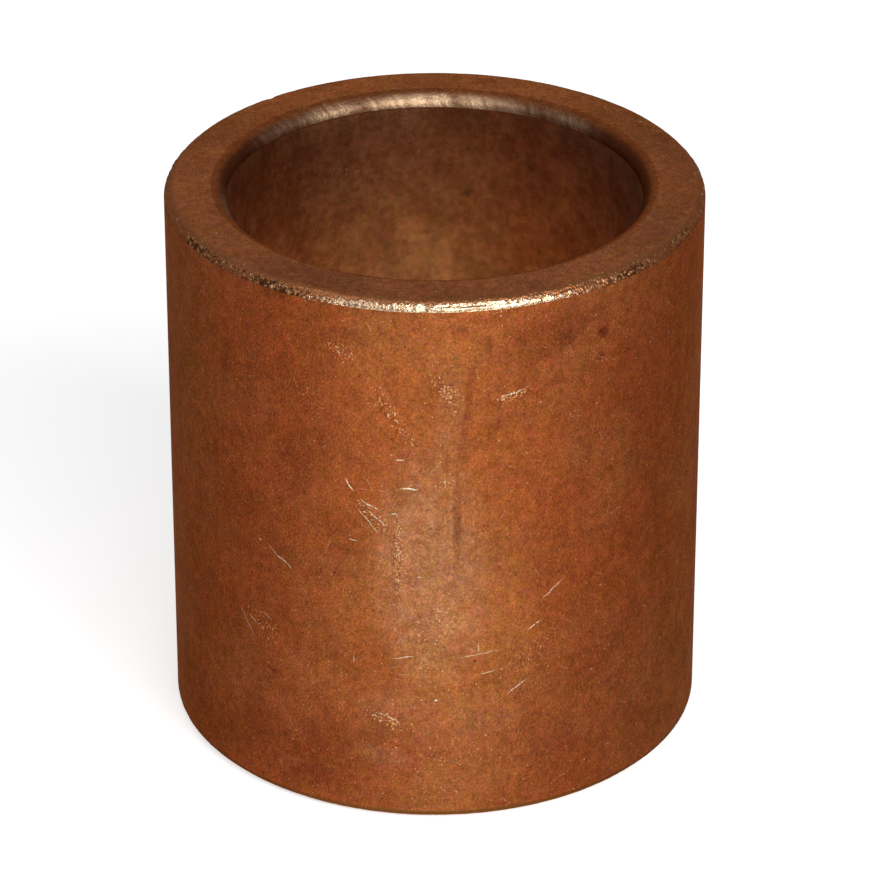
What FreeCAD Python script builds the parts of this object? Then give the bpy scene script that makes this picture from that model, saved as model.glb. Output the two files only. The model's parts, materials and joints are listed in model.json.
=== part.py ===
# Plain sleeve bushing of oil-filled sintered bronze: a straight tube with chamfers on its four rims.
#
# The sleeve is pressed into a housing by its outside and carries a turning shaft in its bore. It is pressed
# from powder, sintered and sized as a single ring, so the whole object is one solid. The bronze holds the
# oil in its own pores, and there is no liner, backing, flange, groove or split.
#
# Frame: millimetres, +Z up along the bore axis, origin on that axis in the plane of the lower end face.

import FreeCAD, Part
import math
import os

import Sketcher

PARTS_FOLDER = "parts"

# Driving dimensions in millimetres: alias, value and what it is.
DIMENSIONS = [
    ("bore_diameter", 15.875, "bore that the shaft turns in, 5/8 inch"),
    ("outer_diameter", 20.6375, "outside that the housing grips, 13/16 inch"),
    ("sleeve_length", 22.225, "length over both end faces, 7/8 inch"),
    ("outer_chamfer", 0.3, "45 degree leg on the two outer rims, which leads the sleeve into its housing"),
    ("bore_chamfer", 0.4, "45 degree leg on the two bore rims, which leads the shaft in"),
]

VOLUME_TOLERANCE = 1e-6  # share of the volume by which the solid may differ from its formula
RADIUS_TOLERANCE = 1e-6  # millimetres, for telling the bore's rims from the outer ones


def add_dimension_sheet(doc):
    """The spreadsheet that drives every feature: an alias, a value and a note in each row."""
    sheet = doc.addObject("Spreadsheet::Sheet", "Dimensions")
    for row, (alias, value, note) in enumerate(DIMENSIONS, start=1):
        sheet.set(f"A{row}", alias)
        sheet.set(f"B{row}", str(value))
        sheet.setAlias(f"B{row}", alias)
        sheet.set(f"C{row}", note)
    doc.recompute()
    return sheet


def base_plane(body, role):
    """The body's own origin plane with that role, such as XY_Plane."""
    return next(feature for feature in body.Origin.OriginFeatures if feature.Role == role)


def add_driven_circle(sketch, sheet, alias):
    """A circle centred on the sketch's origin, whose diameter follows the sheet's cell of that alias."""
    diameter = getattr(sheet, alias)
    centre = FreeCAD.Vector(0, 0, 0)
    up = FreeCAD.Vector(0, 0, 1)
    circle = sketch.addGeometry(Part.Circle(centre, up, diameter / 2), False)
    sketch.addConstraint(Sketcher.Constraint("Coincident", circle, 3, -1, 1))
    constraint = sketch.addConstraint(Sketcher.Constraint("Diameter", circle, diameter))
    sketch.renameConstraint(constraint, alias)
    sketch.setExpression(f"Constraints.{alias}", f"Dimensions.{alias}")


def add_end_section(body, sheet):
    """The ring of the end face: the bore's circle inside the outside's circle."""
    sketch = body.newObject("Sketcher::SketchObject", "EndSection")
    sketch.AttachmentSupport = [(base_plane(body, "XY_Plane"), "")]
    sketch.MapMode = "FlatFace"
    add_driven_circle(sketch, sheet, "outer_diameter")
    add_driven_circle(sketch, sheet, "bore_diameter")
    return sketch


def add_wall(body, section):
    """The straight tube wall, from the lower end face up to the upper one."""
    wall = body.newObject("PartDesign::Pad", "TubeWall")
    wall.Profile = section
    wall.setExpression("Length", "Dimensions.sleeve_length")
    return wall


def rim_edges(shape, radius):
    """Names of the two rims of a round wall: the full circles of its radius."""
    names = []
    for number, edge in enumerate(shape.Edges, start=1):
        curve = edge.Curve
        if isinstance(curve, Part.Circle) and abs(curve.Radius - radius) < RADIUS_TOLERANCE:
            names.append(f"Edge{number}")
    return names


def add_rim_chamfers(body, name, base, radius, alias):
    """Equal 45 degree chamfers on both rims of the round wall of that radius."""
    chamfer = body.newObject("PartDesign::Chamfer", name)
    chamfer.Base = (base, rim_edges(base.Shape, radius))
    chamfer.setExpression("Size", f"Dimensions.{alias}")
    return chamfer


def build_sleeve(doc, sheet):
    """The bushing's only piece: end section, tube wall, then the outer and the bore chamfers."""
    body = doc.addObject("PartDesign::Body", "BronzeSleeve")
    body.Label = "bronze_sleeve"
    wall = add_wall(body, add_end_section(body, sheet))
    doc.recompute()
    outer = add_rim_chamfers(body, "OuterChamfers", wall, sheet.outer_diameter / 2, "outer_chamfer")
    doc.recompute()
    bore = add_rim_chamfers(body, "BoreChamfers", outer, sheet.bore_diameter / 2, "bore_chamfer")
    body.Tip = bore
    body.Placement = FreeCAD.Placement()
    doc.recompute()
    return body


def chamfer_volume(centroid_radius, leg):
    """Volume that one 45 degree rim chamfer takes off: its triangle swept round the axis."""
    return 2 * math.pi * centroid_radius * leg**2 / 2


def sleeve_volume(sheet):
    """The finished sleeve's volume by formula, which shows whether every feature did its work."""
    outer_radius = sheet.outer_diameter / 2
    bore_radius = sheet.bore_diameter / 2
    tube = math.pi * (outer_radius**2 - bore_radius**2) * sheet.sleeve_length
    outer_chamfer = chamfer_volume(outer_radius - sheet.outer_chamfer / 3, sheet.outer_chamfer)
    bore_chamfer = chamfer_volume(bore_radius + sheet.bore_chamfer / 3, sheet.bore_chamfer)
    return tube - 2 * outer_chamfer - 2 * bore_chamfer


def check_document(doc, bodies):
    """Stops the build if a feature failed or a body isn't one valid solid."""
    for item in doc.Objects:
        if "Invalid" in item.State or "Error" in item.State:
            raise RuntimeError(f"{item.Name} failed: {item.State}")
    for body in bodies:
        if body.Shape.isNull() or not body.Shape.isValid() or len(body.Shape.Solids) != 1:
            raise RuntimeError(f"{body.Label} isn't one valid solid")


def check_volume(body, expected):
    """Stops the build if the solid's volume is off its formula."""
    if abs(body.Shape.Volume / expected - 1) > VOLUME_TOLERANCE:
        raise RuntimeError(f"{body.Label} has volume {body.Shape.Volume}, and its formula gives {expected}")


def export_parts(bodies):
    """One STEP file for each piece, named by its label."""
    os.makedirs(PARTS_FOLDER, exist_ok=True)
    for body in bodies:
        body.Shape.exportStep(os.path.join(PARTS_FOLDER, f"{body.Label}.step"))
        box = body.Shape.BoundBox
        size = f"{box.XLength:.4f} x {box.YLength:.4f} x {box.ZLength:.4f} mm"
        print(f"{body.Label}: {size}, {body.Shape.Volume:.1f} mm3")


def main():
    doc = FreeCAD.newDocument("SleeveBushing")
    sheet = add_dimension_sheet(doc)
    sleeve = build_sleeve(doc, sheet)
    check_document(doc, [sleeve])
    check_volume(sleeve, sleeve_volume(sheet))
    export_parts([sleeve])


main()
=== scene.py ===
# Looks of a plain sleeve bushing of sintered bronze, standing on end on a pale floor.
#
# One fine closed mesh stands for the CAD sleeve at the CAD sleeve's own size, with its worn rims in the
# surface itself. The sleeve's lengths are millimetres, and become metres where Blender takes them. A place on
# the sleeve is a height above its base and an angle round its axis in degrees: 0 faces -Y, and +X is at 90.

import json
import math

import bpy
import numpy as np
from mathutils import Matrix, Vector


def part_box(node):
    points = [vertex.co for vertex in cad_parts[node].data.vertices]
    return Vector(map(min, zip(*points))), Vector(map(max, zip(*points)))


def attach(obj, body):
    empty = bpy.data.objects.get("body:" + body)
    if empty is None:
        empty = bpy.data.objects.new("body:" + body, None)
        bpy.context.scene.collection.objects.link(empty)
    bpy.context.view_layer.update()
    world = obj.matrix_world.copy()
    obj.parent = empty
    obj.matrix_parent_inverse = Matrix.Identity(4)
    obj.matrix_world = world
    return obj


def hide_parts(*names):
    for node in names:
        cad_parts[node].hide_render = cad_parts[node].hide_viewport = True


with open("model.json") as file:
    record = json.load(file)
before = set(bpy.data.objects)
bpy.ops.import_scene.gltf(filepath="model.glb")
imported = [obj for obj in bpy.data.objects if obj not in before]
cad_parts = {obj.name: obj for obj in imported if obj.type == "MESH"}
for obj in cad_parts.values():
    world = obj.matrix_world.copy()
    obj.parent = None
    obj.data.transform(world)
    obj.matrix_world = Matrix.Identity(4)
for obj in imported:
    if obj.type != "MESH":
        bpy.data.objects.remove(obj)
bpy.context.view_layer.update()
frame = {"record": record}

MM = 0.001
NODE = "bronze_sleeve"
SLOT = "sintered_bronze"


# ---- Sizes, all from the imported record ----

mounts = {mount["name"]: mount["dims"] for mount in frame["record"]["mounts"]}
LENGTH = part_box(NODE)[1].z / MM
BORE_RADIUS = mounts["bore"]["r_mm"]
OUTER_RADIUS = mounts["housing_seat"]["r_mm"]
BORE_CHAMFER = (LENGTH - mounts["bore"]["length_mm"]) / 2
OUTER_CHAMFER = (LENGTH - mounts["housing_seat"]["length_mm"]) / 2


# ---- Shape: the wall's section turned round the axis, then worn ----

SEGMENTS = 660  # round the axis
OUTER_BREAK = 0.11  # how far the rounding of each outer corner reaches along its two sides
BORE_BREAK = 0.22  # the same at the corners of the bore
CORNER_ROWS = 6
SHEET_GAP = 0.35  # between the parts of the surface when it is laid flat

# Each side of the section from the lower outer corner on: its surface and its rows.
SIDES = [
    ("outer_rim", 3),
    ("outside", 52),
    ("outer_rim", 5),
    ("end_face", 10),
    ("bore_rim", 3),
    ("bore_wall", 19),
    ("bore_rim", 2),
    ("end_face", 4),
]

# Wear of the upper rims, and where rubbed they carry a painted highlight. Each row is a stretch: its middle
# angle, its half width and its amount.
KNOCKED = [  # knocked rough, with painted shade in their pits and a painted highlight on their crumbs' tips
    (-36, 18, 1.0), (-58, 16, 1.1), (-80, 14, 0.5), (45, 13, 0.95), (68, 22, 0.75),
    (-110, 30, 0.5), (125, 35, 0.7), (178, 25, 0.5),
]
# The front stretch of the outer rims and the back stretch of the bore's rim are a painted highlight as well
# as rubbed pale metal.
OUTER_RUBBED_AND_HIGHLIGHT = [  # rubbed to pale metal
    (3, 42, 1.7), (-150, 35, 0.8), (100, 30, 0.6),
]
BORE_RUBBED_AND_HIGHLIGHT = [  # the same round the bore
    (180, 40, 1.3), (-147, 11, 0.8), (-130, 14, 0.4), (140, 16, 0.4), (-75, 20, 0.4), (10, 40, 0.6),
]
NICKS = [  # single nicks, with a depth in place of the amount
    (-2.1, 1.1, 0.05), (8.3, 0.8, 0.05), (-4.8, 0.7, 0.03), (23, 1.0, 0.04), (-140, 1.5, 0.05),
    (96, 1.2, 0.05),
]
CRUMBLE = 0.012  # depth of the small pits all along the outer rims
KNOCK_DEPTH = 0.06  # how much deeper they are where the rim is knocked
DRAG_DEPTH = 0.02  # depth of the tool's drag marks across the bore's chamfers
DRAG_LEAN = 0.09  # how far the drag marks lean round the bore

# Cells of the wear's noises round the axis, and up the section.
FINE_CELLS = 330
COARSE_CELLS = 130
COARSE_CELLS_UP = 60
BROAD_DRAG_CELLS = 120
SLOW_CELLS = 40


def section():
    """Points (radius, height) round the wall's section with rounded corners, and the surface each is on."""
    corners = [
        (OUTER_RADIUS - OUTER_CHAMFER, 0),
        (OUTER_RADIUS, OUTER_CHAMFER),
        (OUTER_RADIUS, LENGTH - OUTER_CHAMFER),
        (OUTER_RADIUS - OUTER_CHAMFER, LENGTH),
        (BORE_RADIUS + BORE_CHAMFER, LENGTH),
        (BORE_RADIUS, LENGTH - BORE_CHAMFER),
        (BORE_RADIUS, BORE_CHAMFER),
        (BORE_RADIUS + BORE_CHAMFER, 0),
    ]
    corners = [np.array(corner, float) for corner in corners]
    breaks = [OUTER_BREAK] * 4 + [BORE_BREAK] * 4
    points, surfaces = [], []
    for index, (surface, rows) in enumerate(SIDES):
        start, end, after = (corners[(index + step) % len(corners)] for step in range(3))
        along = (end - start) / np.linalg.norm(end - start)
        beyond = (after - end) / np.linalg.norm(after - end)
        reach = breaks[(index + 1) % len(corners)]
        first = start + along * breaks[index]
        last = end - along * reach
        turned = end + beyond * reach
        for t in np.linspace(0, 1, rows + 1):
            points.append(first + (last - first) * t)
            surfaces.append(surface)
        rim = surface if "rim" in surface else SIDES[(index + 1) % len(SIDES)][0]
        for t in np.arange(1, CORNER_ROWS) / CORNER_ROWS:
            points.append((1 - t) ** 2 * last + 2 * t * (1 - t) * end + t**2 * turned)
            surfaces.append(rim)
    return np.array(points), np.array(surfaces)


def lattice_noise(turn, climb, cells_round, cells_up, seed):
    """Smooth noise from -1 to 1 over turn and climb, both 0 to 1. It closes on itself round the axis."""
    lattice = np.random.default_rng(seed).uniform(-1, 1, (cells_up + 2, cells_round))
    u, v = turn * cells_round, climb * cells_up
    column, row = np.floor(u).astype(int), np.floor(v).astype(int)
    fu, fv = u - column, v - row
    fu, fv = fu * fu * (3 - 2 * fu), fv * fv * (3 - 2 * fv)
    left, right = column % cells_round, (column + 1) % cells_round
    low = lattice[row, left] * (1 - fu) + lattice[row, right] * fu
    high = lattice[row + 1, left] * (1 - fu) + lattice[row + 1, right] * fu
    return low * (1 - fv) + high * fv


def stretches(angle, rows):
    """The sum of many stretches round the axis, each its amount at its middle and 0 beyond its half width."""
    total = 0
    for middle, half_width, amount in rows:
        near = np.clip(1 - np.abs((angle - middle + 180) % 360 - 180) / half_width, 0, 1)
        total = total + amount * (near * near * (3 - 2 * near))
    return total


def rim_wear(angle, points, rows, surfaces):
    """Depth worn in at each point in millimetres, how knocked it is, and how rubbed it is, which also places
    a painted highlight, all from 0 to 1.
    """
    turn, climb = angle / 360, rows / len(points)
    level = climb * 0
    upper = points[rows, 1] > LENGTH / 2
    outer, bore = surfaces[rows] == "outer_rim", surfaces[rows] == "bore_rim"
    drop = (LENGTH - points[rows, 1]) / np.where(outer, OUTER_CHAMFER, BORE_CHAMFER)
    fine = lattice_noise(turn, climb, FINE_CELLS, len(points), seed=3)
    coarse = lattice_noise(turn, climb, COARSE_CELLS, COARSE_CELLS_UP, seed=4)
    slow = lattice_noise(turn, level, SLOW_CELLS, 1, seed=8)
    leaning = turn + DRAG_LEAN * climb
    fine_drag = lattice_noise(leaning, level, FINE_CELLS, 1, seed=5)
    broad_drag = lattice_noise(leaning, level, BROAD_DRAG_CELLS, 1, seed=6)
    drag = fine_drag * 0.8 + broad_drag * 0.2

    # Both fade out towards the end face, where drop is 0. It is 1 at the chamfer's other edge.
    knocked = outer * upper * np.clip(stretches(angle, KNOCKED) + 0.25 * slow, 0, 1)
    knocked = knocked * np.clip(3 * drop - 0.6, 0, 1)
    # Rubbed also places a painted highlight on the outer rims' front and the bore rim's back, and only low on
    # each chamfer.
    rubbed = outer * stretches(angle, OUTER_RUBBED_AND_HIGHLIGHT) + bore * stretches(angle, BORE_RUBBED_AND_HIGHLIGHT)
    rubbed = rubbed * np.where(bore, np.clip(0.75 + 0.55 * drag + 0.25 * coarse, 0, 1.1), 1)
    rubbed = rubbed * upper * np.clip(1.75 * drop - np.where(bore, 0.15, 0.36), 0, 1)

    pits = np.clip(0.6 * fine + 0.5 * coarse + 0.35, 0, 1)
    depth = outer * (CRUMBLE + KNOCK_DEPTH * knocked) * pits
    depth = depth + outer * upper * stretches(angle, NICKS)
    depth = depth + bore * DRAG_DEPTH * (drag + 1) / 2
    return depth, knocked, np.clip(rubbed * (0.9 + 0.2 * slow), 0, 1)


def flat_sheet(points, surfaces):
    """Where each quad's corners lie on a flat square of side 1: a strip for each wall, then two rings."""
    count, after = len(points), np.roll(np.arange(len(points)), -1)
    step = np.linalg.norm(points[after] - points, axis=1)
    start = count - CORNER_ROWS  # the row where the lower end face stops and the outside's strip begins
    reach = np.roll(np.cumsum(np.roll(step, -start)), start) - step
    ring = (surfaces == "end_face") & (surfaces[after] == "end_face")
    outer = ~ring & (points[:, 0] + points[after, 0] > OUTER_RADIUS + BORE_RADIUS)
    inner = ~ring & ~outer
    outer_height = (reach + step)[outer].max()
    strip_base = np.where(outer, SHEET_GAP, 2 * SHEET_GAP + outer_height - reach[inner].min())
    strip_radius = np.where(outer, OUTER_RADIUS, BORE_RADIUS)
    rings_from = 3 * SHEET_GAP + outer_height + np.ptp(reach[inner])
    ring_radius = OUTER_RADIUS - OUTER_CHAMFER
    ring_x = np.where(points[:, 1] > LENGTH / 2, SHEET_GAP + ring_radius, 2 * SHEET_GAP + 3 * ring_radius)
    ring_y = rings_from + ring_radius
    row, column = np.meshgrid(np.arange(count), np.arange(SEGMENTS), indexing="ij")
    places = []
    for up, along in [(0, 0), (0, 1), (1, 1), (1, 0)]:
        turn = 2 * math.pi * (column + along) / SEGMENTS
        radius = points[(row + up) % count, 0]
        ring_place = (ring_x[row] + radius * np.sin(turn), ring_y - radius * np.cos(turn))
        strip_place = (SHEET_GAP + turn * strip_radius[row], (strip_base + reach + up * step)[row])
        places.append(np.where(ring[row], ring_place, strip_place))
    side = rings_from + 2 * ring_radius + SHEET_GAP
    return np.moveaxis(places, 1, -1).transpose(1, 2, 0, 3) / side


def grid_faces(count):
    """The quads of a closed grid of that many rows by SEGMENTS columns, as numbers of their corners."""
    row, column = np.meshgrid(np.arange(count), np.arange(SEGMENTS), indexing="ij")
    next_row, next_column = (row + 1) % count, (column + 1) % SEGMENTS
    quads = [(row, column), (row, next_column), (next_row, next_column), (next_row, column)]
    return np.stack([r * SEGMENTS + c for r, c in quads], -1).reshape(-1, 4)


def build_sleeve():
    """The sleeve as one closed grid of quads. Each point also holds its surface, how worn it is and where its
    rims carry a painted highlight.
    """
    points, surfaces = section()
    along = np.roll(points, -1, 0) - np.roll(points, 1, 0)
    outward = np.stack([along[:, 1], -along[:, 0]], 1) / np.linalg.norm(along, axis=1)[:, None]
    angle, rows = np.meshgrid(np.arange(SEGMENTS) * 360 / SEGMENTS, np.arange(len(points)))
    depth, knocked, rubbed = rim_wear(angle, points, rows, surfaces)
    radius = points[rows, 0] - outward[rows, 0] * depth
    height = points[rows, 1] - outward[rows, 1] * depth
    turn = np.radians(angle)
    corners = np.stack([radius * np.sin(turn), -radius * np.cos(turn), height], -1).reshape(-1, 3) * MM
    faces = grid_faces(len(points))
    mesh = bpy.data.meshes.new("sleeve")
    mesh.from_pydata(corners.tolist(), [], faces.tolist())
    mesh.polygons.foreach_set("use_smooth", [True] * len(faces))
    unwrap = mesh.uv_layers.new(name="OFBake")
    unwrap.data.foreach_set("uv", flat_sheet(points, surfaces).astype(np.float32).ravel())
    layers = {name: surfaces[rows] == name for name in ("end_face", "bore_wall", "outer_rim", "bore_rim")}
    layers.update(knocked=knocked, rubbed=rubbed)
    for name, values in layers.items():
        attribute = mesh.attributes.new(name, "FLOAT", "POINT")
        attribute.data.foreach_set("value", np.asarray(values, np.float32).ravel())
    piece = bpy.data.objects.new("sleeve", mesh)
    bpy.context.scene.collection.objects.link(piece)
    return piece


# ---- Nodes ----

class Graph:
    """Short calls for the nodes of one node tree. Each adds a node and gives back its output."""

    def __init__(self, tree):
        self.nodes, self.links = tree.nodes, tree.links

    def node(self, kind, inputs, **settings):
        node = self.nodes.new(kind)
        for name, value in settings.items():
            setattr(node, name, value)
        for name, value in inputs.items():
            if isinstance(value, bpy.types.NodeSocket):
                self.links.new(value, node.inputs[name])
            else:
                node.inputs[name].default_value = value
        return node

    def math(self, operation, first, second=0.0, third=0.0, clamp=False):
        inputs = {0: first, 1: second, 2: third}
        return self.node("ShaderNodeMath", inputs, operation=operation, use_clamp=clamp).outputs[0]

    def times(self, first, second):
        return self.math("MULTIPLY", first, second)

    def vector(self, operation, first, second=(0, 0, 0), third=(0, 0, 0), output="Vector"):
        inputs = {0: first, 1: second, 2: third}
        return self.node("ShaderNodeVectorMath", inputs, operation=operation).outputs[output]

    def scaled(self, vector, factor):
        return self.node("ShaderNodeVectorMath", {0: vector, "Scale": factor}, operation="SCALE").outputs[0]

    def length(self, vector):
        return self.vector("LENGTH", vector, output="Value")

    def turned(self, vector, centre, angle):
        """The vector turned about the z axis through a centre, by an angle in radians."""
        inputs = {"Vector": vector, "Center": centre, "Angle": angle}
        return self.node("ShaderNodeVectorRotate", inputs, rotation_type="Z_AXIS").outputs[0]

    def combined(self, x, y=0.0):
        return self.node("ShaderNodeCombineXYZ", {0: x, 1: y}).outputs[0]

    def channels(self, colour):
        return self.node("ShaderNodeSeparateColor", {0: colour}).outputs

    def ramp(self, value, low, high, start=0.0, end=1.0):
        """Value low to high becomes start to end, smoothly and no further."""
        inputs = {"Value": value, "From Min": low, "From Max": high, "To Min": start, "To Max": end}
        return self.node("ShaderNodeMapRange", inputs, interpolation_type="SMOOTHSTEP").outputs[0]

    def noise(self, vector, per_mm, detail=1.0, roughness=0.5):
        inputs = {"Vector": vector, "Scale": per_mm, "Detail": detail, "Roughness": roughness}
        return self.node("ShaderNodeTexNoise", inputs).outputs

    def blend(self, factor, first, second):
        return self.node("ShaderNodeMix", {0: factor, 6: first, 7: second}, data_type="RGBA").outputs[2]

    def painted(self, colour, mask, strength, paint):
        """The colour, with the paint over it where the mask is 1, at that strength."""
        return self.blend(self.times(mask, strength), colour, paint)

    def attribute(self, name):
        return self.node("ShaderNodeAttribute", {}, attribute_name=name).outputs["Fac"]


# ---- Marks ----
#
# Each mark is a leaning oval: angle, height, length, width, lean in degrees and strength. On the outside a
# lean above 0 rises to the right. The upper end face's marks have x and y in place of angle and height.

SCRATCHES = [  # single scratches on the outside
    (-34.6, 10.6, 1.5, 0.065, -33, 1.0), (-17.9, 14.4, 0.7, 0.065, -61, 1.0),
    (-13.4, 13.7, 1.0, 0.065, -32, 0.9), (-13.9, 13.0, 1.5, 0.06, -48, 0.7),
    (-12.3, 13.2, 1.1, 0.06, -40, 0.6), (-5.4, 14.5, 0.85, 0.06, 0, 1.0), (-8.4, 13.4, 0.35, 0.06, 2, 0.8),
    (-42.3, 7.4, 0.6, 0.06, -36, 0.7), (-38.3, 7.8, 0.5, 0.06, -32, 0.7), (-44.2, 7.2, 1.3, 0.06, -51, 0.6),
    (25.6, 9.7, 1.3, 0.065, 35, 1.0), (21.6, 8.3, 0.85, 0.065, 28, 1.0), (17.8, 5.7, 1.1, 0.065, 29, 0.8),
    (9.4, 7.3, 1.9, 0.065, 9, 0.4), (10.9, 6.5, 0.65, 0.065, 7, 0.5), (-10.1, 4.5, 1.1, 0.065, -21, 0.8),
    (16, 18.3, 1.1, 0.065, 14, 0.8), (-17.2, 12.1, 0.35, 0.06, -23, 0.7), (-7, 15.7, 0.45, 0.06, 8, 0.8),
    (-3, 10.7, 0.3, 0.06, 2, 0.8), (-20, 19.9, 0.3, 0.065, -50, 0.7), (-17.6, 6.9, 0.4, 0.06, 80, 0.5),
    (-6.5, 7.2, 0.9, 0.06, 5, 0.6), (9.3, 7.6, 0.4, 0.06, 85, 0.5),
    # at the sides and the back
    (105, 13, 1.4, 0.065, 40, 0.9), (-120, 9, 1.2, 0.065, -35, 0.9), (160, 15, 1.6, 0.065, 20, 0.8),
    (-165, 6, 0.9, 0.065, 60, 0.8),
]
SCUFFS = [  # parts of the outside that are scuffed into many small pale flecks
    (-8, 17.3, 3.6, 0.7, -60, 0.8), (-13, 13.2, 2.6, 0.7, -43, 0.9), (2.5, 18.6, 1.9, 1.0, -50, 0.9),
    (16, 18.2, 1.9, 0.5, 14, 0.9), (-7.6, 11.6, 5.4, 0.6, 90, 1.0), (2, 14.7, 1.0, 0.6, 20, 0.9),
    (-10, 4.4, 2.8, 0.8, -20, 0.9), (19.5, 7, 4.5, 0.9, 32, 0.5), (-40, 7.5, 2.6, 1.5, -40, 0.6),
    (-20, 20, 2.0, 0.9, -10, 0.7), (-2, 8, 5, 3, 80, 0.3), (-28, 18, 2.5, 1.2, -50, 0.4),
    (5, 3, 7, 2, 5, 0.2), (0.5, 9.2, 2.2, 0.5, 90, 0.8),
    # at the sides and the back
    (110, 11, 5, 1.2, 40, 0.7), (-125, 8, 4, 1.2, -35, 0.7), (165, 14, 5, 1.0, 20, 0.7),
    (-160, 7, 6, 2, 80, 0.6),
]
# The broad pale patches across the front's middle, near angle 0, are a painted highlight; the narrower ones
# are pale smudges and worn bands.
PALE_PATCHES_AND_HIGHLIGHT = [  # soft pale patches on the outside
    (-7.6, 11.8, 5.2, 0.7, 90, 0.6), (-7.6, 11.8, 5.0, 0.32, 90, 0.85), (1.9, 12.2, 4.0, 0.8, 90, 0.45),
    (-1, 11, 12.0, 5.0, 90, 0.76), (3, 17, 7.0, 1.6, 88, 0.3), (-2, 4.6, 8.0, 3.0, -4, 0.28),
    (-11, 2.8, 2.6, 1.2, -10, 0.5), (-33, 1.7, 1.4, 0.7, 15, 0.35),
    # at the sides and the back
    (-110, 12, 10, 5, 80, 0.4), (140, 8, 9, 5, 95, 0.4), (-170, 15, 8, 4, 70, 0.35),
]
# The first row, broad and low across the front, is painted shade along the bottom; the others are dark
# patches and streaks.
DARK_PATCHES_AND_SHADE = [  # soft dark patches and streaks on the outside
    (2, 2.2, 22, 6, 0, 0.35), (6.3, 17.5, 6.5, 0.35, 83, 0.5), (4.6, 13.4, 4.5, 0.45, 90, 0.55),
    (22, 20.4, 6, 2, 15, 0.35), (28, 20.2, 1.4, 0.9, 20, 0.75), (37, 20, 0.7, 0.6, 40, 0.9),
    (-37, 5.5, 0.6, 0.30, -10, 0.9), (5, 21.1, 0.8, 0.5, 0, 0.6), (11, 20.4, 1.0, 0.4, 80, 0.6),
    (36.5, 19, 0.5, 0.5, 0, 0.5), (44, 20.5, 0.4, 0.3, 0, 0.7), (-28, 15.5, 5, 3, 60, 0.3),
    (36, 6, 6, 3, 30, 0.3), (-27, 1.4, 3.2, 1.6, 12, 0.55),
    # at the sides
    (90, 10, 7, 4, 50, 0.4), (-90, 16, 6, 3, 20, 0.4),
]
BORE_STAINS = [  # dark spots in the bore
    (171, 17.95, 0.5, 0.42, 0, 0.65), (-166, 15.8, 0.9, 0.4, 20, 0.15), (150, 19.5, 1.4, 0.6, 10, 0.4),
]
FACE_SCRATCHES = [
    (-1.97, -8.27, 0.8, 0.06, -4, 0.8), (-8.1, -4.5, 0.14, 0.10, 0, 0.9), (-6.9, -5.6, 0.12, 0.08, 30, 0.7),
]
FACE_STAINS = [
    (9.6, -2.0, 1.0, 0.08, 5, 0.8), (8.8, -1.2, 0.8, 0.08, -10, 0.5), (2, 9.2, 1.8, 0.7, 10, 0.4),
]

# Hairlines scattered all over: cell size, share of cells, length, width, middle lean and spread of lean.
FALLING_HAIRLINES = (1.3, 0.25, 0.9, 0.06, -40, 40)
RISING_HAIRLINES = (2.3, 0.22, 1.8, 0.06, 25, 50)
GLINTS = (0.8, 0.045, 0.046)  # painted glints, bright specks: cell size, share of cells and radius


# ---- Material ----

def display(red, green, blue):
    """A colour in display values from 0 to 255, as the linear colour that a shader takes."""
    values = [value / 255 for value in (red, green, blue)]
    return (*[v / 12.92 if v <= 0.04045 else ((v + 0.055) / 1.055) ** 2.4 for v in values], 1)


# Colours of the tarnish. The pale one is also a painted highlight and the dark one also painted shade; the
# bore's upper, lower and right ones are painted shade and light.
ORANGE_TARNISH = display(178, 98, 52)
TAN_TARNISH = display(180, 107, 60)
FRONT_FACE_TARNISH = display(172, 107, 71)
BACK_FACE_TARNISH = display(179, 110, 67)
PALE_TARNISH_AND_HIGHLIGHT = display(194, 132, 92)
DARK_TARNISH_AND_SHADE = display(128, 60, 38)
UPPER_BORE_TARNISH_SHADED = display(160, 110, 78)
LOWER_BORE_TARNISH_LIT = display(217, 156, 104)
RIGHT_BORE_TARNISH_SHADED = display(150, 137, 126)
BORE_STAIN = display(92, 62, 44)
PORE = display(112, 54, 34)

# Tones that a noise swings the tarnish between.
DARK_FACE_TONE = (0.84, 0.84, 0.86, 1)
PALE_FACE_TONE = (1.14, 1.12, 1.08, 1)
DARK_BORE_TONE = (0.88, 0.82, 0.76, 1)
PALE_BORE_TONE = (1.1, 1.14, 1.16, 1)

# Colours of bared metal and of the rims. The scratch colour is also a painted highlight, and so are the crumb
# tips and the rubbed and dragged colours; the bore rim's, pit and lower edge colours are painted shade.
FLECK = display(244, 194, 144)
HAIRLINE = display(236, 190, 150)
SCRATCH_AND_GLINT_HIGHLIGHT = display(255, 236, 206)
OUTER_RIM_BROWN = display(172, 116, 78)
BORE_RIM_SHADE = display(82, 46, 34)
PIT_SHADE = display(84, 52, 32)
CRUMB_TIP_HIGHLIGHT = display(216, 168, 118)
DULL_RUBBED_AND_HIGHLIGHT = display(224, 178, 132)
BRIGHT_RUBBED_AND_HIGHLIGHT = display(252, 220, 186)
DRAGGED_AND_HIGHLIGHT = display(244, 208, 168)
LOWER_EDGE_SHADE = display(112, 74, 38)
EDGE_TINT = (0.75, 0.50, 0.42, 1)  # of the metal where it is seen at a glancing angle

# Noises, in features per millimetre.
BROAD = 0.16
BLOTCHES = 0.8
WOBBLE = 1.5
PATCHES = 2.2
STREAKS = 3.5
PORES = 4.2
CRUMBS = 7.0
GRAINS = 11.0
DUST = (12.0, 1.25, 0.34, 1.2)  # a mottle: features per millimetre, lightness, green and blue
MOTTLES = [(0.35, 0.30, 0.05, 0.14), (1.1, 0.40, 0.18, 0.34), (3.2, 0.62, 0.36, 0.60)]  # the same, all over
PORE_SHIFT = (40, 0, 0)  # keeps the pores' noise apart from the others
STREAK_DRAW = (1, 1, 0.05)  # draws the streaks' noise out along the axis

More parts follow.
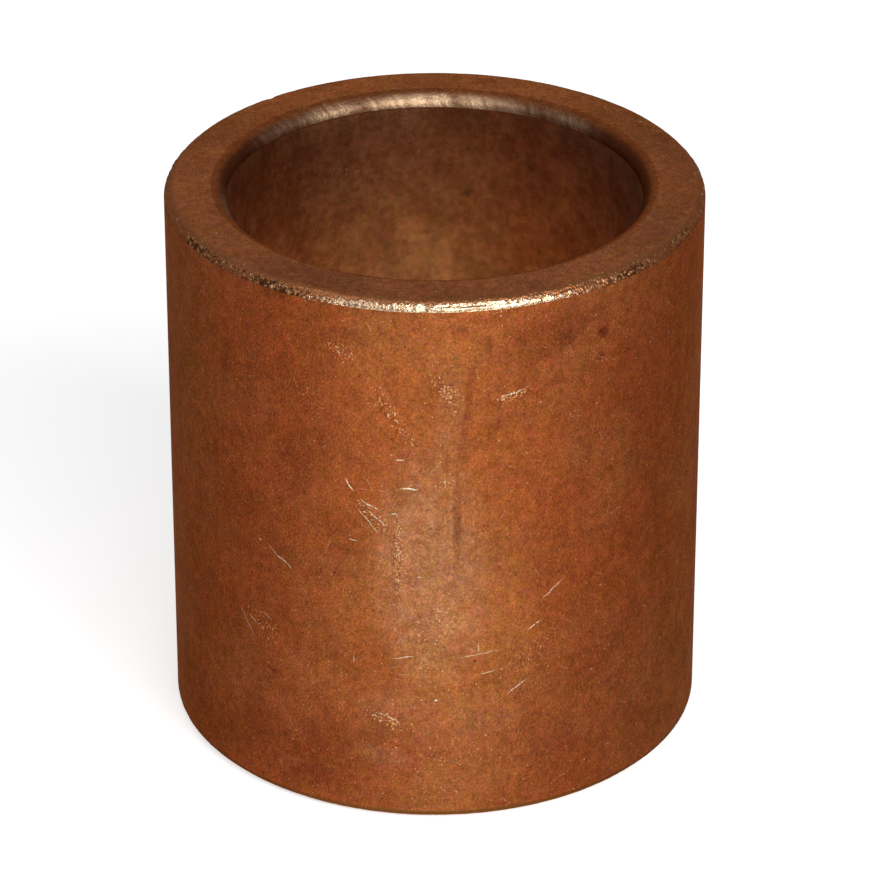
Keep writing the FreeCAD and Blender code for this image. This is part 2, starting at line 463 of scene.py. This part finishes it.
# Lengths in millimetres.
FACE_FRONT, FACE_BACK = -8, 8  # the end faces' colour changes between these y
BORE_DARK_HEIGHT, BORE_PALE_HEIGHT = 21.5, 13  # the bore goes from painted shade at its top to painted light lower down between these heights
BORE_GREY_FROM, BORE_GREY_TO = 3, 8  # the bore turns greyer between these x, painted shade
RIM_FADE = 0.25  # depth below the end face where the painted shade on the bore's rim is darkest
LOWER_EDGE_TOP, LOWER_EDGE_FULL = 1, 0.5  # painted shade darkens the lower outer rim between these heights
WOBBLE_REACH = 0.25  # how far the wobble bends the flat sheet
BORE_SHIFT = 150  # how far aside the bore lies on the flat sheet
LOWER_FACE_SHIFT = 100  # the same for the lower end face
GRAIN_RELIEF = 0.018
BORE_RELIEF_CHANGE = -0.012  # the bore's grain is that much lower
SCUFF_RELIEF = 0.045
RIM_RELIEF = 0.012
CRUMB_RELIEF = 0.06

# Roughness, and what each surface or mark changes in it.
MATT = 0.55
GRAIN_CHANGE = 0.20
BORE_CHANGE = -0.10
OUTER_RIM_CHANGE = -0.13
RUBBED_CHANGE = -0.12
PORE_CHANGE = 0.25
SCRATCH_AND_GLINT_CHANGE = -0.15


class Bronze:
    """The sleeve's material. Places, masks, noises and marks come first, then what they do to the surface."""

    def __init__(self):
        self.material = bpy.data.materials.new(SLOT)
        self.material.use_nodes = True
        self.graph = Graph(self.material.node_tree)
        self.find_places()
        self.make_noises()
        self.make_marks()

    def find_places(self):
        """Where a point is. Then, from 0 to 1, which surface it is on, how knocked it is, and how rubbed it
        is with a painted highlight.
        """
        graph = self.graph
        self.place = graph.scaled(graph.node("ShaderNodeTexCoord", {}).outputs["Object"], 1 / MM)
        self.x, self.y, self.z = graph.node("ShaderNodeSeparateXYZ", {0: self.place}).outputs
        self.turn = graph.math("ARCTAN2", self.x, graph.times(self.y, -1))
        self.end_face, self.bore = graph.attribute("end_face"), graph.attribute("bore_wall")
        self.outer_rim, self.bore_rim = graph.attribute("outer_rim"), graph.attribute("bore_rim")
        self.knocked, self.rubbed = graph.attribute("knocked"), graph.attribute("rubbed")
        self.rim = graph.math("ADD", self.outer_rim, self.bore_rim, clamp=True)
        walls = graph.math("ADD", self.bore, self.end_face)
        self.outside = graph.math("SUBTRACT", 1, graph.math("ADD", walls, self.rim), clamp=True)
        self.sheet = self.flat_place()

    def flat_place(self):
        """The surface laid flat: the way round and the height on the walls, and x and y on the end faces."""
        graph = self.graph
        radius = graph.length(graph.vector("MULTIPLY", self.place, (1, 1, 0)))
        wall = graph.combined(graph.times(self.turn, radius), self.z)
        wobble = graph.vector("SUBTRACT", graph.noise(self.place, WOBBLE)["Color"], (0.5, 0.5, 0.5))
        aside = graph.math("ADD", self.y, graph.ramp(self.z, LENGTH, 0, 0, LOWER_FACE_SHIFT))
        flat = graph.blend(self.end_face, wall, graph.combined(self.x, aside))
        flat = graph.vector("ADD", flat, graph.scaled(wobble, WOBBLE_REACH))
        return graph.vector("ADD", flat, graph.combined(graph.times(self.bore, BORE_SHIFT)))

    def make_noises(self):
        """Noises that are each used more than once."""
        graph, place = self.graph, self.place
        self.broad = graph.noise(place, BROAD, 3.0, 0.55)["Fac"]
        self.patchy = graph.noise(place, PATCHES, 3.0, 0.6)["Fac"]
        self.crumbs = graph.noise(place, CRUMBS, 2.0, 0.6)["Fac"]
        self.chips = graph.math("SUBTRACT", self.crumbs, 0.5)
        grains = graph.noise(place, GRAINS)
        self.grain = grains["Fac"]
        self.second_grain = graph.channels(grains["Color"])[1]

    def make_marks(self):
        """Masks of the marks. Pores and flecks are fainter on the end faces, and faintest in the bore."""
        graph = self.graph
        face_share = graph.math("MULTIPLY_ADD", self.end_face, -0.4, 1)
        self.marked = graph.math("MULTIPLY_ADD", self.bore, -0.8, face_share)
        pores = graph.noise(graph.vector("ADD", self.place, PORE_SHIFT), PORES, 3.0, 0.7)["Fac"]
        self.pores = graph.times(graph.ramp(pores, 0.63, 0.74), self.marked)
        self.scuffs = graph.times(self.ovals(SCUFFS, 1.6), self.outside)
        # Glints are a painted highlight: bright specks in the scratches' pale colour.
        glints = graph.times(self.specks(*GLINTS), graph.ramp(self.patchy, 0.42, 0.6))
        self.scratches_and_glints = graph.math("MAXIMUM", glints, self.scratches())
        chipped_rubbed_and_highlight = graph.math("MULTIPLY_ADD", self.chips, 2.4, self.rubbed)
        self.chipped_rubbed_and_highlight = graph.ramp(chipped_rubbed_and_highlight, 0.32, 0.78)

    def oval(self, across, height, length, width, lean):
        """How far each place is from the middle of a leaning oval on the flat sheet, where 1 is its edge."""
        turned = self.graph.turned(self.sheet, (across, height, 0), -math.radians(lean))
        along, over = 2 / length, 2 / width
        middle = (-across * along, -height * over, 0)
        return self.graph.length(self.graph.vector("MULTIPLY_ADD", turned, (along, over, 0), middle))

    def ovals(self, rows, sharpness, radius=OUTER_RADIUS, shift=0.0):
        """The strongest of many ovals at each place. With a radius, the rows begin with an angle."""
        graph, strongest = self.graph, 0.0
        for across, *shape, strength in rows:
            across = math.radians(across) * radius + shift if radius else across
            inside = graph.math("MULTIPLY_ADD", self.oval(across, *shape), -sharpness, sharpness)
            inside = graph.times(graph.math("MINIMUM", inside, 1), strength)
            strongest = graph.math("MAXIMUM", strongest, inside)
        return strongest

    def scratches(self):
        graph = self.graph
        outside = graph.times(self.ovals(SCRATCHES, 2.6), self.outside)
        face = graph.times(self.ovals(FACE_SCRATCHES, 1.8, None), self.end_face)
        return graph.times(graph.math("MAXIMUM", outside, face), graph.ramp(self.grain, 0.36, 0.52, 0.2, 1))

    def cells(self, size):
        """Cells of that size on the flat sheet, and three chance values for each cell."""
        inputs = {"Vector": self.sheet, "Scale": 1 / size}
        cells = self.graph.node("ShaderNodeTexVoronoi", inputs, voronoi_dimensions="2D")
        return cells, self.graph.channels(cells.outputs["Color"])

    def specks(self, size, share, radius):
        """Round specks of uneven size, at most one in each cell and in that share of the cells."""
        graph = self.graph
        cells, chance = self.cells(size)
        distance = graph.times(cells.outputs["Distance"], size)
        reach = graph.math("MULTIPLY_ADD", chance[1], radius * 0.7, radius * 0.5)
        inside = graph.math("SUBTRACT", 1, graph.math("DIVIDE", distance, reach), clamp=True)
        return graph.times(graph.ramp(inside, 0, 0.5), graph.math("LESS_THAN", chance[0], share))

    def hairlines(self, size, share, length, width, lean, spread):
        """Straight hairlines, at most one in each cell, leaning by lean degrees give or take spread."""
        graph = self.graph
        cells, chance = self.cells(size)
        local = graph.vector("SUBTRACT", self.sheet, cells.outputs["Position"])
        spread, lean = math.radians(2 * spread), math.radians(lean)
        tilt = graph.math("MULTIPLY_ADD", chance[1], -spread, spread / 2 - lean)
        shrunk = graph.vector("MULTIPLY", graph.turned(local, (0, 0, 0), tilt), (2 / length, 2 / width, 0))
        inside = graph.math("SUBTRACT", 1, graph.length(shrunk), clamp=True)
        return graph.times(graph.ramp(inside, 0, 0.6), graph.math("LESS_THAN", chance[0], share))

    def mottled(self, colour, per_mm, lightness, green, blue):
        """Vary a colour by noise: all of it by lightness, and its green and blue by so much more."""
        graph = self.graph
        noise = graph.noise(self.place, per_mm)
        shade = graph.math("MULTIPLY_ADD", noise["Fac"], lightness, 1 - lightness / 2)
        tint = graph.vector("MULTIPLY_ADD", noise["Color"], (0, green, blue), (0, -green / 2, -blue / 2))
        return graph.vector("MULTIPLY", colour, graph.vector("ADD", tint, shade))

    def tarnish(self):
        """Orange and tan on the outside and duller on the end faces, with pale and dark patches, among them a
        painted highlight and painted shade on the front.
        """
        graph = self.graph
        colour = graph.blend(graph.ramp(self.broad, 0.40, 0.62), ORANGE_TARNISH, TAN_TARNISH)
        face = graph.blend(graph.ramp(self.y, FACE_FRONT, FACE_BACK), FRONT_FACE_TARNISH, BACK_FACE_TARNISH)
        face_tone = graph.blend(graph.ramp(self.broad, 0.36, 0.64), DARK_FACE_TONE, PALE_FACE_TONE)
        colour = graph.blend(self.end_face, colour, graph.vector("MULTIPLY", face, face_tone))
        # Among the pale patches is a painted highlight across the front's middle, and among the dark ones
        # painted shade along the front's bottom.
        pale = graph.times(self.ovals(PALE_PATCHES_AND_HIGHLIGHT, 2.0), self.outside)
        dark = graph.times(self.ovals(DARK_PATCHES_AND_SHADE, 2.0), self.outside)
        stains = graph.times(self.ovals(FACE_STAINS, 2.0, None), self.end_face)
        uneven = graph.ramp(self.patchy, 0.3, 0.6, 0.4, 1)
        colour = graph.painted(colour, pale, uneven, PALE_TARNISH_AND_HIGHLIGHT)
        colour = graph.painted(colour, graph.math("MAXIMUM", dark, stains), uneven, DARK_TARNISH_AND_SHADE)
        return self.mottled(colour, *DUST)

    def bore_tarnish_and_painted_light(self):
        """Tarnish with painted shade near the top of the bore and greyer painted shade on its right, painted
        light lower down, soft blotches and a few spots.
        """
        graph = self.graph
        # Painted shade and light: darker at the top of the bore, paler lower down and greyer on its right.
        down = graph.ramp(self.z, BORE_DARK_HEIGHT, BORE_PALE_HEIGHT)
        colour = graph.blend(down, UPPER_BORE_TARNISH_SHADED, LOWER_BORE_TARNISH_LIT)
        grey = graph.ramp(self.x, BORE_GREY_FROM, BORE_GREY_TO, 0, 0.45)
        colour = graph.blend(grey, colour, RIGHT_BORE_TARNISH_SHADED)
        blotch = graph.ramp(graph.noise(self.place, BLOTCHES, 3.0, 0.6)["Fac"], 0.35, 0.65)
        colour = graph.vector("MULTIPLY", colour, graph.blend(blotch, DARK_BORE_TONE, PALE_BORE_TONE))
        return graph.painted(colour, self.ovals(BORE_STAINS, 1.5, BORE_RADIUS, BORE_SHIFT), 0.8, BORE_STAIN)

    def streaked(self, colour):
        """Over a colour, the fine streaks that the die leaves up and down the walls."""
        graph = self.graph
        drawn = graph.vector("MULTIPLY", self.place, STREAK_DRAW)
        streak = graph.noise(drawn, STREAKS, 2.0, 0.6)["Fac"]
        return graph.vector("MULTIPLY", colour, graph.math("MULTIPLY_ADD", streak, 0.24, 0.88))

    def with_marks(self, colour):
        """Pores, pale flecks, hairlines, painted glints as bright specks, and scratches, whose pale colour is
        partly a painted highlight, over a colour.
        """
        graph = self.graph
        colour = graph.painted(colour, self.pores, 0.5, PORE)
        level = graph.math("MULTIPLY_ADD", self.scuffs, -0.175, 0.722)
        flecks = graph.ramp(graph.math("SUBTRACT", self.second_grain, level), 0, 0.06)
        colour = graph.painted(colour, graph.times(flecks, self.marked), 0.85, FLECK)
        hair = graph.math("MAXIMUM", self.hairlines(*FALLING_HAIRLINES), self.hairlines(*RISING_HAIRLINES))
        hair = graph.times(hair, graph.ramp(self.grain, 0.42, 0.60))
        colour = graph.painted(colour, hair, 0.45, HAIRLINE)
        return graph.blend(self.scratches_and_glints, colour, SCRATCH_AND_GLINT_HIGHLIGHT)

    def with_rims(self, colour):
        """Rims over a colour: brown, with painted shade on the bore's rim, in the knocked pits and on the
        lower outer rim, and painted highlight on the crumb tips and where rubbed to pale metal.
        """
        graph = self.graph
        colour = graph.painted(colour, self.outer_rim, 0.6, OUTER_RIM_BROWN)
        # Painted shade on the bore's rim, darker away from the end face.
        away_from_face = graph.ramp(self.z, LENGTH, LENGTH - RIM_FADE, 0.3, 0.88)
        colour = graph.painted(colour, self.bore_rim, away_from_face, BORE_RIM_SHADE)
        # Painted shade in the knocked pits, and a painted highlight on the crumbs' tips.
        pits = graph.ramp(graph.math("MULTIPLY_ADD", self.chips, -3.0, self.knocked), 0.72, 1.05)
        colour = graph.painted(colour, pits, 0.85, PIT_SHADE)
        colour = graph.painted(colour, self.knocked, graph.ramp(self.chips, 0.05, 0.12), CRUMB_TIP_HIGHLIGHT)
        # The rubbed colours are pale metal and a painted highlight, on the outer rims and, dragged, on the
        # bore's rim.
        rubbed = graph.blend(graph.ramp(self.grain, 0.38, 0.58), DULL_RUBBED_AND_HIGHLIGHT, BRIGHT_RUBBED_AND_HIGHLIGHT)
        colour = graph.painted(colour, self.outer_rim, self.chipped_rubbed_and_highlight, rubbed)
        dragged_and_highlight = graph.math("MULTIPLY", self.bore_rim, graph.times(self.rubbed, 0.8), clamp=True)
        colour = graph.blend(dragged_and_highlight, colour, DRAGGED_AND_HIGHLIGHT)
        # Painted shade on the lower outer rim, next to the floor.
        low_edge_shade = graph.times(self.outer_rim, graph.ramp(self.z, LOWER_EDGE_TOP, LOWER_EDGE_FULL))
        return graph.painted(colour, low_edge_shade, 0.75, LOWER_EDGE_SHADE)

    def relief(self):
        """Bump of the grain, more of it in the scuffs, and of the crumbs on the rims."""
        graph = self.graph
        grain_relief = graph.math("MULTIPLY_ADD", self.bore, BORE_RELIEF_CHANGE, GRAIN_RELIEF)
        height = graph.times(self.grain, grain_relief)
        part_rubbed = graph.times(self.chipped_rubbed_and_highlight, graph.math("SUBTRACT", 1.25, self.rubbed, clamp=True))
        crumbly = graph.times(self.outer_rim, graph.math("MAXIMUM", self.knocked, part_rubbed))
        rim_relief = graph.math("MULTIPLY_ADD", crumbly, CRUMB_RELIEF, graph.times(self.rim, RIM_RELIEF))
        height = graph.math("MULTIPLY_ADD", self.crumbs, rim_relief, height)
        height = graph.math("MULTIPLY_ADD", graph.times(self.scuffs, self.grain), SCUFF_RELIEF, height)
        return graph.node("ShaderNodeBump", {"Strength": 1.0, "Distance": MM, "Height": height}).outputs[0]

    def roughness(self):
        """Matt metal: smoother in the bore, on the outer rims, in scratches and at the glints, rougher in the
        pores.
        """
        graph = self.graph
        rough = graph.math("MULTIPLY_ADD", graph.math("SUBTRACT", self.grain, 0.5), GRAIN_CHANGE, MATT)
        rough = graph.math("MULTIPLY_ADD", self.bore, BORE_CHANGE, rough)
        rough = graph.math("MULTIPLY_ADD", self.outer_rim, OUTER_RIM_CHANGE, rough)
        rough = graph.math("MULTIPLY_ADD", graph.times(self.outer_rim, self.rubbed), RUBBED_CHANGE, rough)
        rough = graph.math("MULTIPLY_ADD", self.pores, PORE_CHANGE, rough)
        return graph.math("MULTIPLY_ADD", self.scratches_and_glints, SCRATCH_AND_GLINT_CHANGE, rough, clamp=True)

    def build(self):
        graph = self.graph
        colour = graph.blend(self.bore, self.tarnish(), self.bore_tarnish_and_painted_light())
        for mottle in MOTTLES:
            colour = self.mottled(colour, *mottle)
        colour = self.with_rims(self.with_marks(self.streaked(colour)))
        shader = graph.nodes["Principled BSDF"]
        shader.inputs["Metallic"].default_value = 1.0
        shader.inputs["Specular Tint"].default_value = EDGE_TINT
        graph.links.new(colour, shader.inputs["Base Color"])
        graph.links.new(self.roughness(), shader.inputs["Roughness"])
        graph.links.new(self.relief(), shader.inputs["Normal"])
        return self.material


# ---- Stage, lights and camera, in metres ----

# What the world sends out, as linear red, green and blue.
TABLE_LIGHT = (0.225, 0.235, 0.265)  # from below, all round
TABLE_FRONT_LIGHT = (0.68, 0.06, 0.03)  # more from the front half
TABLE_GLARE = (0.35, 1.25, 1.25)  # more straight in front
TABLE_UNDER = (0.95, 0.8, 0.4, 1)  # straight up, through the bore
BACKDROP = (0.75, 0.75, 0.75, 1)  # what the camera sees behind the sleeve
ROOM_LIGHT = (0.12, 0.12, 0.12)  # from above, all round
ROOM_BACK_LIGHT = (0.29, 0.29, 0.29)  # more from behind the sleeve

# How fast the lights on one side fall off towards the other. More is narrower.
HALF_FALLOFF = 3
GLARE_FALLOFF = 9

FLOOR_SIZE = 4
FLOOR_COLOUR = (0.9, 0.9, 0.9, 1)
FLOOR_ROUGHNESS = 0.9
FLOOR_SHEEN = 0.1
FLOOR_GLOW = 0.56

# Soft lights: name, azimuth, elevation, size and power.
LIGHTS = [
    ("key_light", 12, 37, 0.24, 0.76),
    ("right_light", 40, 35, 0.16, 0.70),
    ("left_light", -60, 50, 0.20, 0.24),
]
LIGHT_DISTANCE = 0.45

CAMERA_SENSOR = 36  # millimetres, as is the lens
CAMERA_LENS = 201.2
CAMERA_ELEVATION = 28.56
CAMERA_DISTANCE = 0.1954
AIM_HEIGHT = 0.01072
AIM_ASIDE = 0.00026


def look_from(azimuth, elevation, distance, target):
    """A place at a distance from the target, and the rotation that faces it. Azimuth 0 is -Y, 90 is +X."""
    a, e = math.radians(azimuth), math.radians(elevation)
    away = Vector((math.sin(a) * math.cos(e), -math.cos(a) * math.cos(e), math.sin(e)))
    return target + away * distance, (-away).to_track_quat("-Z", "Y").to_euler()


def add_soft_light(name, azimuth, elevation, size, power):
    """A square soft light aimed at the sleeve's middle."""
    data = bpy.data.lights.new(name, "AREA")
    data.shape, data.size, data.energy = "SQUARE", size, power
    light = bpy.data.objects.new(name, data)
    middle = Vector((0, 0, LENGTH / 2 * MM))
    light.location, light.rotation_euler = look_from(azimuth, elevation, LIGHT_DISTANCE, middle)
    bpy.context.scene.collection.objects.link(light)


def add_floor():
    """A matt pale floor that glows a little. Glossy rays pass it and meet the world's lower half instead."""
    bpy.ops.mesh.primitive_plane_add(size=FLOOR_SIZE)
    floor = bpy.context.object
    floor.name = "floor"
    material = bpy.data.materials.new("floor")
    material.use_nodes = True
    shader = material.node_tree.nodes["Principled BSDF"]
    shader.inputs["Base Color"].default_value = FLOOR_COLOUR
    shader.inputs["Roughness"].default_value = FLOOR_ROUGHNESS
    shader.inputs["Specular IOR Level"].default_value = FLOOR_SHEEN
    shader.inputs["Emission Color"].default_value = (1, 1, 1, 1)
    shader.inputs["Emission Strength"].default_value = FLOOR_GLOW
    floor.data.materials.append(material)
    floor.visible_glossy = False
    floor.visible_shadow = False


def add_camera():
    """A camera in front of the sleeve and above it, aimed a little to the right of its axis."""
    data = bpy.data.cameras.new("camera")
    data.sensor_width, data.lens = CAMERA_SENSOR, CAMERA_LENS
    camera = bpy.data.objects.new("camera", data)
    target = Vector((0, 0, AIM_HEIGHT))
    camera.location, _ = look_from(0, CAMERA_ELEVATION, CAMERA_DISTANCE, target)
    aim = Vector((AIM_ASIDE, 0, AIM_HEIGHT))
    camera.rotation_euler = (aim - camera.location).to_track_quat("-Z", "Y").to_euler()
    bpy.context.scene.collection.objects.link(camera)
    bpy.context.scene.camera = camera


def add_world():
    """A dim room above. Below, the soft light that a table sends up, strongest in front of the sleeve."""
    world = bpy.data.worlds.new("studio")
    bpy.context.scene.world = world
    world.use_nodes = True
    graph = Graph(world.node_tree)
    direction = graph.node("ShaderNodeTexCoord", {}).outputs["Generated"]
    _, y, z = graph.node("ShaderNodeSeparateXYZ", {0: direction}).outputs
    level = graph.length(graph.vector("MULTIPLY", direction, (1, 1, 0)))
    across = graph.math("DIVIDE", y, graph.math("MAXIMUM", level, 0.001))
    behind = graph.math("MULTIPLY_ADD", across, 0.5, 0.5, clamp=True)
    front = graph.math("SUBTRACT", 1, behind)
    half = graph.scaled(TABLE_FRONT_LIGHT, graph.math("POWER", front, HALF_FALLOFF))
    glare = graph.scaled(TABLE_GLARE, graph.math("POWER", front, GLARE_FALLOFF))
    table = graph.vector("ADD", graph.vector("ADD", TABLE_LIGHT, half), glare)
    table = graph.blend(graph.ramp(z, -0.7, -0.9), table, TABLE_UNDER)
    back = graph.scaled(ROOM_BACK_LIGHT, graph.math("POWER", behind, HALF_FALLOFF))
    light = graph.blend(graph.ramp(z, 0, -0.15), graph.vector("ADD", ROOM_LIGHT, back), table)
    seen = graph.node("ShaderNodeLightPath", {}).outputs["Is Camera Ray"]
    graph.links.new(graph.blend(seen, light, BACKDROP), graph.nodes["Background"].inputs["Color"])


sleeve = build_sleeve()
sleeve.data.materials.append(Bronze().build())
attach(sleeve, "root")
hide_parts(NODE)

add_world()
add_floor()
for light in LIGHTS:
    add_soft_light(*light)
add_camera()
bpy.context.scene.view_settings.view_transform = "Standard"
